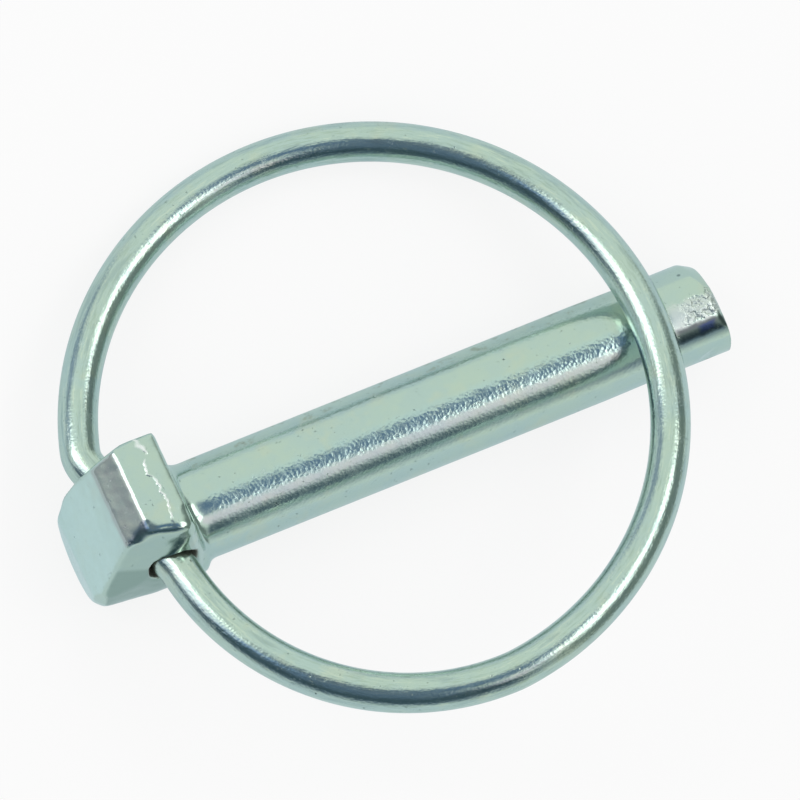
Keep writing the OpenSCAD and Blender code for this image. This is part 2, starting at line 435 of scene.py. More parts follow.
@dataclass(frozen=True)
class Plating:
    """Bright zinc plate with a clear passivation that leaves a blue-green cast.

    Two patterns of its thickness, weighed against each other, turn it from green to blue.
    Over it lie rougher clouds, a few specks, faint straw patches and small nicks. The
    specks are given as how many a millimetre and which share of them show, and the heights
    are those of the grain and the waves, and the depths of the specks and the nicks.
    """

    name: str
    marks: ForgingMarksAndPaintedLight | DrawnMarks
    green: Colour = (0.555, 0.670, 0.585)
    blue: Colour = (0.525, 0.650, 0.610)
    cast: Cloud = Cloud(0.16, 3.0, 0.6)
    clouds: Cloud = Cloud(0.9, 4.0, 0.6)
    cast_weight: float = 0.7
    cast_shown: Fade = (0.38, 0.62)
    roughness: float = 0.14
    cloud_rough: float = 0.10
    cloud_shown: Fade = (0.5, 0.75)
    specks: Pair = (1.3, 0.05)
    speck_in: float = 0.01
    speck_r: Fade = (0.16, 0.08)
    speck: Tint = Tint((0.13, 0.18, 0.17), 0.75)
    speck_rough: float = 0.35
    straw: Patches = Patches(
        Cloud(0.3, 3.0, 0.6), (0.52, 0.70), Tint((0.620, 0.680, 0.540), 0.5)
    )
    nicks: Patches = Patches(
        Cloud(2.3, 5.0, 0.6), (0.655, 0.69), Tint((0.13, 0.18, 0.17), 0.45)
    )
    grain: Cloud = Cloud(4.5, 3.0, 0.65)
    waves: Cloud = Cloud(0.45, 2.0, 0.5)
    heights: Sequence[float] = (0.004, 0.01, 0.02, 0.006)

    def build(self, frame: PinFrame) -> Material:
        """Builds the material."""
        made = bpy.data.materials.new(self.name)
        made.use_nodes = True
        kit = NodeKit(made.node_tree)
        on = Surface.of(kit, frame)
        self._plate(on)
        self.marks.add(on)
        raised = {"Strength": 1.0, "Distance": MM, "Height": on.height}
        shader = made.node_tree.nodes["Principled BSDF"]
        for name, value in (
            ("Base Color", on.colour),
            ("Roughness", on.rough),
            ("Metallic", on.metal),
            ("Normal", kit.node("ShaderNodeBump", None, raised).outputs[0]),
        ):
            kit.feed(shader.inputs[name], value)
        return made

    def _plate(self, on: Surface) -> None:
        """Adds the plate itself: its cast, its specks and nicks, and its grain."""
        kit, spot = on.kit, on.spot
        clouds = kit.noise(spot, self.clouds)
        cast = kit.noise(spot, self.cast) * self.cast_weight + clouds * (1.0 - self.cast_weight)
        on.colour = kit.blend(kit.step(cast, *self.cast_shown), self.green, self.blue)
        scale, few = self.specks
        cell = kit.cells(spot, scale)
        drawn = kit.node("ShaderNodeSeparateColor", None, {0: cell.outputs["Color"]}).outputs[0]
        held = kit.step(kit.number(drawn), 1.0 - few, 1.0 - few + self.speck_in)
        speck = kit.step(kit.number(cell.outputs["Distance"]), *self.speck_r) * held
        nick = on.patches(self.nicks)
        on.lay(self.speck, speck)
        on.lay(self.straw.tint, on.patches(self.straw))
        on.lay(self.nicks.tint, nick)
        grain, waves, speck_deep, nick_deep = self.heights
        raised = kit.noise(spot, self.grain) * grain + kit.noise(spot, self.waves) * waves
        on.height = raised - speck * speck_deep - nick * nick_deep
        cloudy = self.cloud_rough * kit.step(clouds, *self.cloud_shown)
        on.rough = self.roughness + cloudy + self.speck_rough * speck


@dataclass(frozen=True)
class HeadMarksAndPaintedLight:
    """Painted light and shade on the faces of the head, a painted highlight on the fold, and the
    bore.

    The faces are painted by the way they face: the end face lighter, as a painted reflection,
    and the back bevel, in a pinkish grey, and the near side darker, as painted shade. A face
    has its tint, the least share of it and what a pattern adds: the mottle, or on the near
    side the place below a height that falls along the head, so that its painted shade is
    darker lower down. The fold is painted near white as a highlight, and the bore's inside a
    dark brown. A dull is how much rougher the fold or the bore is, and how much less metallic.
    """

    # painted light and shade by facing: end face lighter, back bevel and near side darker
    faces: Sequence[tuple[str, Tint, Pair]] = (
        ("back_bevel", Tint((0.48, 0.46, 0.47)), (0.2, 0.8)),
        ("near_side_painted_shade", Tint((0.33, 0.43, 0.38)), (0.4, 0.6)),
        ("end_face", Tint((0.65, 0.80, 0.76)), (0.5, 0.7)),
    )
    # the near side's painted shade is full below this height
    low: Fade = (4.2, 3.6)
    low_lean: float = 0.1
    # painted highlight: the fold's lip near white, rougher and less metallic
    fold: Tint = Tint((0.92, 0.96, 0.94))
    fold_dull: Pair = (0.15, 0.6)
    bore: Tint = Tint((0.20, 0.19, 0.16))
    bore_dull: Pair = (0.4, 0.7)

    def add(self, on: Surface, mottle: Num) -> None:
        """Adds the painted light and shade, the painted highlight and the bore's tint."""
        fold, bore = on.share("fold"), on.share("bore")
        low = on.kit.step(on.at[UP] + on.at[ALONG] * self.low_lean, *self.low)
        # paints each face lighter or darker by the way it faces
        for name, tint, (least, added) in self.faces:
            pattern = low if name == "near_side_painted_shade" else mottle
            on.lay(tint, on.share(name) * (least + pattern * added))
        # painted highlight on the fold
        on.lay(self.fold, fold)
        on.lay(self.bore, bore)
        on.rough = on.rough + bore * self.bore_dull[0] + fold * self.fold_dull[0]
        on.metal = on.metal - bore * self.bore_dull[1] - fold * self.fold_dull[1]


@dataclass(frozen=True)
class ShankMarksAndPaintedReflection:
    """The drawn grain of the shank, its pitted band with a teal painted reflection, and the soil on
    its far side.

    Dimples cover the shank, and are higher by the second number in the band. The dulls are
    how much rougher the shank, its far side and the soil are.
    """

    shank: Sequence[Edge] = (Edge(ALONG, 0.3, 2.0), Edge(ALONG, 41.5, 40.0))
    band: Sequence[Edge] = (Edge(SIDE, -2.0, -1.5), Edge(SIDE, 0.1, -0.5), Edge(UP, 1.0, 2.0))
    band_shown: Fade = (0.30, 0.55)
    # painted reflection: the pitted band is tinted teal
    painted_band_reflection: Tint = Tint((0.52, 0.70, 0.70), 0.4)
    dimple_scale: float = 3.6
    dimples: Pair = (0.006, 0.010)
    grain: Cloud = Cloud(6.5, 2.0, 0.6)
    grain_height: float = 0.004
    far_side: Sequence[Edge] = (Edge(SIDE, 2.7, 3.3, 1.0), Edge(UP, 1.0, 1.6))
    soil: Patches = Patches(
        Cloud(0.9, 5.0, 0.65), (0.55, 0.66), Tint((0.38, 0.38, 0.26), 0.4)
    )
    dull: Sequence[float] = (0.04, 0.15, 0.1)

    def add(self, on: Surface, mottle: Num) -> None:
        """Adds the marks and the band's painted reflection."""
        kit = on.kit
        shank = on.within(self.shank)
        pitted_band_and_reflection = on.within(self.band) * kit.step(mottle, *self.band_shown)
        # teal painted reflection on the pitted band
        on.lay(self.painted_band_reflection, pitted_band_and_reflection * shank)
        cell = kit.number(kit.cells(on.spot, self.dimple_scale).outputs["Distance"])
        dimples = cell * (self.dimples[0] + pitted_band_and_reflection * self.dimples[1])
        grain = kit.noise(on.spot, self.grain) * self.grain_height
        on.height = on.height + (dimples + grain) * shank
        far = on.within(self.far_side, mottle) * shank
        soil = on.patches(self.soil) * far
        on.lay(self.soil.tint, soil)
        on.rough = on.rough + shank * self.dull[0] + far * self.dull[1] + soil * self.dull[2]


@dataclass(frozen=True)
class TipMarksAndPaintedLight:
    """The cropped tip: a pale patch of painted light with flakes in it, a dark band of painted
    reflection with a blue core, and a dot.

    The mottle moves the edges where it differs from its even value, and those of the dark
    band and its blue core less. The dulls are how much rougher the flakes and the pale patch are.
    """

    even: float = 0.5
    patch: Sequence[Edge] = (
        Edge(SIDE, -2.1, -1.6, 1.0), Edge(SIDE, 0.2, -0.5, 2.0), Edge(UP, 2.0, 2.6),
    )
    starts: Sequence[Edge] = (Edge(ALONG, 40.8, 41.8),)
    # painted light: a paler patch over the tip's top
    pale: Tint = Tint((0.82, 0.82, 0.80), 0.55)
    flaked: Sequence[Edge] = (Edge(ALONG, 42.3, 43.5, 3.0),)
    flakes: Patches = Patches(Cloud(1.9, 2.0, 0.5), (0.40, 0.64))
    flake_deep: float = 0.08
    dull: Pair = (0.1, 0.22)
    # painted reflection: a dark band along the tip's side, with a blue core
    dark_reflection_rag: float = 0.5
    dark_reflection_place: Sequence[Edge] = (
        Edge(SIDE, -3.05, -2.8, 1.0), Edge(SIDE, -1.9, -2.2, 1.0),
        Edge(UP, 1.0, 2.0), Edge(ALONG, 41.0, 41.8),
    )
    painted_dark_reflection: Tint = Tint((0.10, 0.13, 0.13), 0.84)
    blue_reflection_place: Sequence[Edge] = (
        Edge(SIDE, -2.85, -2.65, 1.0), Edge(SIDE, -2.15, -2.35, 1.0),
        Edge(ALONG, 43.0, 43.6, 2.0), Edge(ALONG, 44.8, 44.3, 2.0), Edge(UP, 1.0, 2.0),
    )
    painted_blue_reflection: Tint = Tint((0.06, 0.09, 0.24), 0.8)
    dot: Tint = Tint((0.10, 0.14, 0.15), 0.6)
    dot_at: tuple[float, float, float] = (43.6, 2.26, 3.24)
    dot_r: Fade = (0.20, 0.10)

    def add(self, on: Surface, mottle: Num) -> None:
        """Adds the flakes, the dot, the painted light and the painted reflection."""
        rag = mottle - self.even
        patch = on.within(self.patch, rag)
        tip = on.within(self.flaked, rag) * patch
        flakes = on.patches(self.flakes) * tip
        on.height = on.height - flakes * self.flake_deep
        # painted light on the pale patch
        pale = patch * on.within(self.starts)
        on.lay(self.pale, pale)
        on.rough = on.rough + flakes * self.dull[0] + pale * self.dull[1]
        away = on.kit.vector_maths("DISTANCE", on.spot, self.dot_at).outputs["Value"]
        on.lay(self.dot, on.kit.step(on.kit.number(away), *self.dot_r))
        # painted dark reflection and its blue core
        rag = rag * self.dark_reflection_rag
        on.lay(self.painted_dark_reflection, on.within(self.dark_reflection_place, rag))
        on.lay(self.painted_blue_reflection, on.within(self.blue_reflection_place, rag))


@dataclass(frozen=True)
class ForgingMarksAndPaintedLight:
    """All the marks and the painted light and shade of the forged pin, and the mottle that breaks
    them up.
    """

    mottle: Cloud = Cloud(1.1, 4.0, 0.7)
    parts: Sequence[Any] = (HeadMarksAndPaintedLight(), ShankMarksAndPaintedReflection(), TipMarksAndPaintedLight())

    def add(self, on: Surface) -> None:
        """Adds the marks and painted light of the head, the shank and the tip in turn."""
        mottle = on.kit.noise(on.spot, self.mottle)
        for part in self.parts:
            part.add(on, mottle)


@dataclass(frozen=True)
class DrawnMarks:
    """The streaks that the drawing die left along the wire, and a fine mottle.

    The stretch is how much a millimetre of the wire's run counts in the streaks. The
    heights are those of the streaks, the lines, the mottle and the dimples, and the dulls
    are how much rougher the mottle and the whole wire are.
    """

    stretch: float = 0.12
    streaks: Cloud = Cloud(1.6, 4.0, 0.65)
    lines: Cloud = Cloud(3.4, 4.0, 0.7)
    mottle: Cloud = Cloud(5.0, 2.0, 0.6)
    dimple_scale: float = 4.0
    heights: Sequence[float] = (0.03, 0.012, 0.008, 0.006)
    broad: tuple[Tint, Fade] = (Tint((0.34, 0.44, 0.44), 0.5), (0.52, 0.68))
    dark: tuple[Tint, Fade] = (Tint((0.40, 0.50, 0.42), 0.45), (0.52, 0.66))
    pale: tuple[Tint, Fade] = (Tint((0.74, 0.82, 0.66), 0.35), (0.46, 0.34))
    mottle_shown: Fade = (0.5, 0.7)
    dull: Pair = (0.05, 0.035)

    def add(self, on: Surface) -> None:
        """Adds the streaks, the dimples and the mottle."""
        kit = on.kit
        turn = kit.attribute("wire_round").outputs["Vector"]
        across = kit.node("ShaderNodeSeparateXYZ", None, {0: turn}).outputs
        lengthwise = {axis: kit.number(across[axis]) * (1.0 / MM) for axis in range(2)}
        lengthwise[2] = on.share("wire_run") * (self.stretch / MM)
        place = kit.node("ShaderNodeCombineXYZ", None, lengthwise).outputs[0]
        cell = kit.number(kit.cells(on.spot, self.dimple_scale).outputs["Distance"])
        streaks, lines = kit.noise(place, self.streaks), kit.noise(place, self.lines)
        mottle = kit.noise(on.spot, self.mottle)
        drawn = ((streaks, self.broad), (lines, self.dark), (lines, self.pale))
        for pattern, (tint, shown) in drawn:
            on.lay(tint, kit.step(pattern, *shown))
        streaked, lined, mottled, dimpled = self.heights
        on.height = on.height + cell * dimpled
        on.height = on.height + streaks * streaked + lines * lined + mottle * mottled
        on.rough = on.rough + kit.step(mottle, *self.mottle_shown) * self.dull[0] + self.dull[1]


# ---------------- forged pin


def fade(values: Array, none: float, full: float) -> Array:
    """Straight change from 0 where the values are none to 1 where they are full."""
    return np.clip((values - none) / (full - none), 0, 1)


def bell(values: Array, middle: float, width: Any) -> Array:
    """Round hump of height 1 about a middle."""
    return np.exp(-(((values - middle) / width) ** 2))


def wavy(values: Array, scale: float, row: Pair) -> Array:
    """Smooth noise along one coordinate, taken from the given row of the pattern."""
    return np.array([noise.noise(Vector((row[0], value * scale, row[1]))) for value in values])


@dataclass(frozen=True)
class Softening:
    """How the edges of the forging are rounded.

    In each round a point is pulled towards the mean of its neighbours. The head and the
    tip go first, sparing the crown's rear edge and the sharp corner of the tip. The
    crown's near edge, given along, to the side and up, and the neck have the late rounds.
    """

    rounds: int = 8
    late_rounds: int = 60
    pull: float = 0.5
    head: Fade = (1.6, 1.0)
    rear: float = -5.13
    rear_half: float = 0.5
    rear_up: float = 8.9
    rear_spared: float = 0.6
    tip: Fade = (44.3, 44.6)
    tip_pull: float = 0.5
    tip_side: float = -3.0
    crown: Sequence[Fade] = ((-1.2, -1.7), (-1.9, -2.4), (8.0, 8.5))
    neck: Fade = (0.9, 0.0)
    neck_at: float = 0.4
    neck_r: float = 5.2
    neck_pull: float = 0.3

    def weights(self, points: Array) -> tuple[Array, Array]:
        """Finds how strongly each point is smoothed in the first and the late rounds."""
        along, side, up = points.T
        rear = (np.abs(along - self.rear) < self.rear_half) & (up > self.rear_up)
        head = fade(along, *self.head) * (1 - self.rear_spared * rear)
        tip = self.tip_pull * fade(along, *self.tip) * (side > self.tip_side)
        crown = np.prod([fade(value, *self.crown[i]) for i, value in enumerate(points.T)], axis=0)
        neck = self.neck_pull * fade(np.abs(along - self.neck_at), *self.neck)
        return np.maximum(head, tip), np.maximum(crown, neck * (np.hypot(side, up) < self.neck_r))

    def smooth(self, points: Array, links: Array) -> Array:
        """Smooths the points."""
        first, late = self.weights(points)
        ends, others = np.concatenate([links, links[:, ::-1]]).T
        count = np.maximum(np.bincount(ends, minlength=len(points)), 1)
        for turn in range(self.rounds + self.late_rounds):
            weight = first if turn < self.rounds else late
            sums = [np.bincount(ends, points[others, i], len(points)) for i in range(3)]
            mean = np.column_stack(sums) / count[:, None]
            points = points + self.pull * weight[:, None] * (mean - points)
        return points


@dataclass(frozen=True)
class Shank:
    """The exact round of the shank, before and after it is drawn down.

    Points near the round are put back on it, and so are those of the tip's lower corner,
    which is given along, to the side and, twice, out from the middle line.
    """

    radii: Pair = (4.0, 3.94)
    drawn: Pair = (35.0, 39.0)
    near: Fade = (0.10, 0.05)
    starts: Fade = (1.4, 1.8)
    stops: Fade = (44.3, 44.0)
    corner: Sequence[Fade] = ((44.0, 44.3), (-2.2, -2.8))
    corner_out: Sequence[Fade] = ((3.3, 3.5), (4.5, 4.4))

    def trued(self, points: Array) -> Array:
        """Puts the shank's surface back on its exact round."""
        along, side, up = points.T
        out = np.hypot(side, up)
        wanted = np.interp(along, self.drawn, self.radii)
        body = fade(np.abs(out - wanted), *self.near)
        body = body * fade(along, *self.starts) * fade(along, *self.stops)
        corner = fade(along, *self.corner[0]) * fade(side, *self.corner[1])
        for edge in self.corner_out:
            corner = corner * fade(out, *edge)
        scale = 1 + np.maximum(body, corner) * (wanted / np.maximum(out, LEAST) - 1)
        return np.column_stack([along, side * scale, up * scale])


@dataclass(frozen=True)
class Fold:
    """The ragged fold that forging left across the crown, with a painted highlight on its lip.

    Its line runs from the far side to the near one, as (along, side). Its rags are given
    as their reach and how many there are a millimetre, the swelling of its lip as its
    middle, its variation and how often it varies, and both with a row of the noise. The
    far end, which is wider, and the gap are given as a middle and a width to the side.
    The faces within its room, along and down, are cut to hold it.
    """

    line: Sequence[Pair] = (
        (-3.25, 4.6), (-2.95, 3.8), (-2.7, 3.15), (-3.2, 2.6), (-3.35, 1.6),
        (-2.95, 0.9), (-2.95, -0.3), (-2.8, -1.3), (-3.05, -2.3), (-3.1, -3.6),
    )
    up: float = 9.325
    shown: Fade = (-0.35, -0.15)
    room: Pair = (0.9, 0.6)
    middle: float = -3.0
    cuts: int = 2
    rag: Pair = (0.22, 2.4)
    rag_row: Pair = (0.0, 3.0)
    swell: Sequence[float] = (0.8, 0.5, 1.3)
    swell_row: Pair = (5.0, 0.0)
    far_end: Pair = (3.9, 0.45)
    gap: Pair = (2.85, 0.2)
    gap_deep: float = 0.9
    near_end: Fade = (-2.9, -2.4)
    width: Pair = (0.11, 0.22)
    ledge: Fade = (-0.10, 0.10)
    ledge_width: float = 0.6
    heights: Pair = (0.02, 0.05)
    # where the lip carries the painted highlight
    painted_highlight: Fade = (0.21875, 0.84375)

    def near(self, points: Array) -> Array:
        """Tells which points lie near the fold."""
        off = np.abs(points[:, 0] - self.middle)
        return (points[:, 2] > self.up - self.room[1]) & (off < self.room[0])

    def raised(self, points: Array) -> tuple[Array, Array]:
        """Finds how far the fold raises each point, and the share of its lip."""
        along, side, up = points.T
        line_along, line_side = np.array(self.line[::-1]).T
        reach, often = self.rag
        off = along - np.interp(side, line_side, line_along)
        off = off - reach * wavy(side, often, self.rag_row)
        usual, varied, often = self.swell
        swell = usual + varied * wavy(side, often, self.swell_row)
        swell = swell * (1 - self.gap_deep * bell(side, *self.gap)) * fade(side, *self.near_end)
        width = self.width[0] + self.width[1] * bell(side, *self.far_end)
        on_crown = fade(up - self.up, *self.shown)
        lip = on_crown * bell(off, 0.0, width) * swell
        ledge = on_crown * fade(off, *self.ledge) * bell(off, 0.0, self.ledge_width)
        return self.heights[0] * ledge + self.heights[1] * lip, lip


@dataclass(frozen=True)
class ForgedFaces:
    """The uneven faces of the head, and the soft ridge across its end face.

    The unevenness has a coarse and a fine part, as features a millimetre. The slopes are
    the fall below and above the ridge. The faces that carry painted light and shade are told
    by how squarely they look their way, and the bore by the distance from its middle line.
    """

    head: Fade = (-0.3, -1.1)
    uneven: Pair = (0.42, 1.3)
    fine: float = 0.4
    even: float = 0.5
    height: float = 0.035
    end: Fade = (-5.2, -7.2)
    ridge_up: float = 5.2
    slopes: Pair = (0.05, 0.04)
    reach: float = 4.0
    rounding: float = 0.03
    marked: Fade = (-1.0, -1.3)
    # faces painted by facing: end face lighter as a painted reflection, back bevel and near side
    # darker as painted shade
    looks: Sequence[tuple[str, Sequence[float], Fade]] = (
        ("back_bevel", (-1.70, 0.0, 1.95), (0.90, 0.95)),
        ("near_side_painted_shade", (0.0, -1.0, 0.0), (0.80, 0.92)),
        ("end_face", (-1.0, 0.0, 0.0), (0.85, 0.95)),
    )
    bore_r: float = 1.975
    bore_shown: Fade = (0.15, 0.05)

    def unevenness(self, points: Array) -> Array:
        """Finds how far the faces rise and fall."""
        coarse, fine = (
            np.array([noise.noise(Vector(point) * often) for point in points])
            for often in self.uneven
        )
        head = fade(points[:, 0], *self.head)
        return head * self.height * (coarse + self.fine * fine - self.even)

    def pushed(self, points: Array) -> Array:
        """Finds how far the end face is pushed in on both sides of its ridge."""
        above = points[:, 2] - self.ridge_up
        bent = [
            np.hypot(np.clip(off, 0, self.reach) * slope, self.rounding) - self.rounding
            for off, slope in zip((-above, above), self.slopes)
        ]
        return fade(points[:, 0], *self.end) * sum(bent)

    def shares(
        self, points: Array, normals: Array, hinge: Hinge
    ) -> dict[str, Array]:
        """Finds the share of each marked face of the head at each point, by name."""
        reach = points - hinge.middle()
        off = np.linalg.norm(reach - np.outer(reach @ hinge.line(), hinge.line()), axis=1)
        shares = {
            name: fade(normals @ np.array(facing) / np.linalg.norm(facing), *shown)
            for name, facing, shown in self.looks
        }
        shares["bore"] = fade(off - self.bore_r, *self.bore_shown)
        head = fade(points[:, 0], *self.marked)
        return {name: head * share for name, share in shares.items()}


@dataclass
class ForgedPin:
    """The forged head and its drawn shank, as one softened body.

    The size of the remeshing grid and the merging distance are in metres.
    """

    frame: PinFrame
    hinge: Hinge
    voxel: float = 0.165
    merge: float = 1e-7
    softening: Softening = Softening()
    shank: Shank = Shank()
    fold: Fold = Fold()
    faces: ForgedFaces = ForgedFaces()
    finish: Plating = Plating("zinc_on_forging", ForgingMarksAndPaintedLight())

    def build(self, cad: Object) -> Object:
        """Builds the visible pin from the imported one."""
        mesh = self._gridded(cad)
        links = rows(mesh.edges, "vertices", 2, np.int64)
        points = self.softening.smooth(self._read(mesh), links)
        self._write(mesh, self.shank.trued(points))
        self._refine(mesh)
        before = self._read(mesh)
        lift, lip = self.fold.raised(before)
        lift = lift + self.faces.unevenness(before)
        points = before + self._normals(mesh) * lift[:, None]
        points[:, 0] += self.faces.pushed(before)
        self._write(mesh, points)
        # the fold's share is where its painted highlight lies
        shares = {"fold": fade(lip, *self.fold.painted_highlight)}
        shares.update(self.faces.shares(points, self._normals(mesh), self.hinge))
        for name, share in shares.items():
            mesh.attributes.new(name, "FLOAT", "POINT").data.foreach_set("value", share)
        mesh.name = "pin_body"
        mesh.shade_smooth()
        mesh.materials.clear()
        mesh.materials.append(self.finish.build(self.frame))
        return placed("pin_body", mesh)

    def _gridded(self, cad: Object) -> Mesh:
        """Remeshes a merged copy into even quads."""
        copy = cad.data.copy()
        with edited(copy) as shape:
            bmesh.ops.remove_doubles(shape, verts=shape.verts, dist=self.merge)
        held = placed("pin_copy", copy)
        grid = held.modifiers.new("grid", "REMESH")
        grid.mode = "VOXEL"
        grid.voxel_size = self.voxel * MM
        mesh = settled(held)
        bpy.data.meshes.remove(copy)
        return mesh

    def _read(self, mesh: Mesh) -> Array:
        """Reads the mesh's points in the pin's frame."""
        return self.frame.inward(rows(mesh.vertices, "co", 3))

    def _write(self, mesh: Mesh, points: Array) -> None:
        """Writes the mesh's points from the pin's frame."""
        mesh.vertices.foreach_set("co", self.frame.outward(points).ravel())
        mesh.update()

    def _normals(self, mesh: Mesh) -> Array:
        """Reads the mesh's normals in the pin's frame."""
        return rows(mesh.vertex_normals, "vector", 3) @ self.frame.axes

    def _refine(self, mesh: Mesh) -> None:
        """Splits the faces round the crown's fold, so that it has room for its rags."""
        near = self.fold.near(self._read(mesh))
        with edited(mesh) as shape:
            edges = [edge for edge in shape.edges if all(near[end.index] for end in edge.verts)]
            bmesh.ops.subdivide_edges(shape, edges=edges, cuts=self.fold.cuts, use_grid_fill=True)


# ---------------- wire ring


def heading(angle: float) -> Array:
    """Direction at an angle in degrees, in the plane of the ring."""
    return np.array([math.cos(math.radians(angle)), math.sin(math.radians(angle))])


@dataclass
class WireRing:
    """The sprung wire ring, closed over the end of the shank.

    Attributes:
        wire_r, ring_r: radius of the wire, and of the round at the wire's middle.
        reach: distance from the hinge to the middle of the round.
        far_bend_r, near_bend_r, leg_r: radii of the bends, and of the near leg.
        leg_start: where the near leg draws in, in degrees from the tip.
        leg_turn, leg_turn_r: angle and radius of that draw-in.
        end_gap: gap between the wire ends in the bore.
        arc_step, arc_least, straight: step and least number of the points of an arc,
            and number of those of a straight end.
        same: distance within which two points are one.
        facets, step: facets round the wire, and their length.
    """

    frame: PinFrame
    hinge: Hinge
    wire_r: float = 1.6
    ring_r: float = 23.4
    reach: float = 20.7
    far_bend_r: float = 2.8
    near_bend_r: float = 3.8
    leg_start: float = 85.0
    leg_turn: float = 5.0
    leg_turn_r: float = 8.0
    leg_r: float = 20.6
    end_gap: float = 1.2
    arc_step: float = 0.25
    arc_least: int = 4
    straight: int = 12
    same: float = 1e-4
    facets: int = 40
    step: float = 0.3
    finish: Plating = Plating("zinc_on_wire", DrawnMarks())

    def build(self) -> Object:
        """Builds the ring along its path."""
        path = self._path()
        leant = self.hinge.middle() + np.outer(path[:, 0] + self.reach, self.hinge.forward())
        leant[:, 1] = path[:, 1]
        tree = self._wire_tree(self.finish.build(self.frame))
        return self._swept(self._curve(self.frame.outward(leant)), tree)

    def _path(self) -> Array:
        """Middle of the wire in the ring's plane, in millimetres from the middle of the round."""
        hinge = np.array([-self.reach, 0.0])
        skew = self.hinge.skew
        stub, beside = heading(90 + skew), heading(skew)
        far_out = self.ring_r - self.far_bend_r
        far_cosine = (self.far_bend_r - self.reach * math.cos(math.radians(skew))) / far_out
        far_angle = skew + math.degrees(math.acos(far_cosine))
        far_mid = far_out * heading(far_angle)
        drawn_in = -self.leg_start - self.leg_turn
        turn_mid = (self.ring_r - self.leg_turn_r) * heading(-self.leg_start)
        leg_mid = turn_mid + (self.leg_turn_r - self.leg_r) * heading(drawn_in)
        from_leg = hinge - self.near_bend_r * beside - leg_mid
        ahead = from_leg @ stub
        apart = ahead**2 - from_leg @ from_leg + (self.leg_r + self.near_bend_r) ** 2
        near_stub = math.sqrt(apart) - ahead
        near_mid = hinge + near_stub * stub - self.near_bend_r * beside
        leg_end = math.degrees(math.atan2(*(near_mid - leg_mid)[::-1]))
        points = np.vstack(
            [
                self._straight(hinge, stub, self.end_gap / 2, (far_mid - hinge) @ stub),
                self._arc(far_mid, self.far_bend_r, 180 + skew, far_angle),
                self._arc(np.zeros(2), self.ring_r, far_angle, -self.leg_start),
                self._arc(turn_mid, self.leg_turn_r, -self.leg_start, drawn_in),
                self._arc(leg_mid, self.leg_r, drawn_in, leg_end),
                self._arc(near_mid, self.near_bend_r, leg_end + 180, skew),
                self._straight(hinge, stub, near_stub, -self.end_gap / 2),
            ]
        )
        kept = np.linalg.norm(np.diff(points, axis=0), axis=1) > self.same
        return points[np.concatenate([[True], kept])]

    def _straight(
        self, hinge: Array, stub: Array, start: float, stop: float
    ) -> Array:
        """Points along the bore between two distances from the hinge."""
        return hinge + np.linspace(start, stop, self.straight)[:, None] * stub

    def _arc(self, middle: Array, radius: float, start: float, stop: float) -> Array:
        """Points of an arc between two angles in degrees."""
        steps = int(math.radians(abs(stop - start)) * radius / self.arc_step)
        angles = np.radians(np.linspace(start, stop, max(self.arc_least, steps)))
        return middle + radius * np.column_stack([np.cos(angles), np.sin(angles)])

    @staticmethod
    def _curve(path: Array) -> Object:
        """Makes a curve object of the path."""
        data = bpy.data.curves.new("wire_path", "CURVE")
        data.dimensions = "3D"
        line = data.splines.new("POLY")
        line.points.add(len(path) - 1)
        line.points.foreach_set("co", np.column_stack([path, np.ones(len(path))]).ravel())
        return placed("wire_path", data)

    def _wire_tree(self, material: Material) -> NodeTree:
        """Node tree that sweeps the wire along its path."""
        tree = bpy.data.node_groups.new("sweep_wire", "GeometryNodeTree")
        face = tree.interface
        face.new_socket("Geometry", in_out="INPUT", socket_type="NodeSocketGeometry")
        for name, kind, value in (
            ("Wire radius", "NodeSocketFloat", self.wire_r * MM),
            ("Facets", "NodeSocketInt", self.facets),
            ("Step", "NodeSocketFloat", self.step * MM),
        ):
            face.new_socket(name, in_out="INPUT", socket_type=kind).default_value = value
        face.new_socket("Geometry", in_out="OUTPUT", socket_type="NodeSocketGeometry")
        kit = NodeKit(tree)
        given = kit.node("NodeGroupInput").outputs
        step = {"Curve": given["Geometry"], "Length": given["Step"]}
        even = kit.node("GeometryNodeResampleCurve", {"mode": "LENGTH"}, step)
        size = {"Resolution": given["Facets"], "Radius": given["Wire radius"]}
        section = kit.node("GeometryNodeCurvePrimitiveCircle", None, size)
        run = kit.node("GeometryNodeSplineParameter").outputs["Length"]
        turn = kit.node("GeometryNodeInputPosition").outputs["Position"]
        curve, profile = (
            kit.node(
                "GeometryNodeStoreNamedAttribute",
                {"data_type": kind, "domain": "POINT"},
                {"Geometry": source.outputs[0], "Name": name, "Value": value},
            )
            for kind, source, name, value in (
                ("FLOAT", even, "wire_run", run),
                ("FLOAT_VECTOR", section, "wire_round", turn),
            )
        )
        drawn = {"Curve": curve.outputs[0], "Profile Curve": profile.outputs[0]}
        made = kit.node("GeometryNodeCurveToMesh", None, {**drawn, "Fill Caps": True})
        for kind, values in (
            ("GeometryNodeSetShadeSmooth", {}),
            ("GeometryNodeRealizeInstances", {}),
            ("GeometryNodeSetMaterial", {"Material": material}),
            ("NodeGroupOutput", {}),
        ):
            made = kit.node(kind, None, {"Geometry": made.outputs[0], **values})
        return tree

    @staticmethod
    def _swept(held: Object, tree: NodeTree) -> Object:
        """Runs the tree on the curve and keeps the mesh."""
        sweep = held.modifiers.new("sweep", "NODES")
        sweep.node_group = tree
        mesh = settled(held)
        mesh.name = "ring_wire"
        with edited(mesh) as shape:
            bmesh.ops.recalc_face_normals(shape, faces=shape.faces)
        return placed("ring_wire", mesh)


# ---------------- studio


class Panel(Enum):
    """The soft lights, as (right, up, width, height) in degrees seen from the object."""

    RIGHT = (40.5, 11.5, 20.0, 38.0)
    LEFT = (-36.0, 18.5, 36.0, 20.0)


@dataclass(frozen=True)
class Shade:
    """A darker or paler part of the tent, as reflections show it.

    In degrees, it lies towards an angle round the camera from the picture's right, half of
    its width to each side, and between two distances from the camera.
    """

    towards: float
    half: Fade
    near: Fade
    far: Fade
    colour: Colour


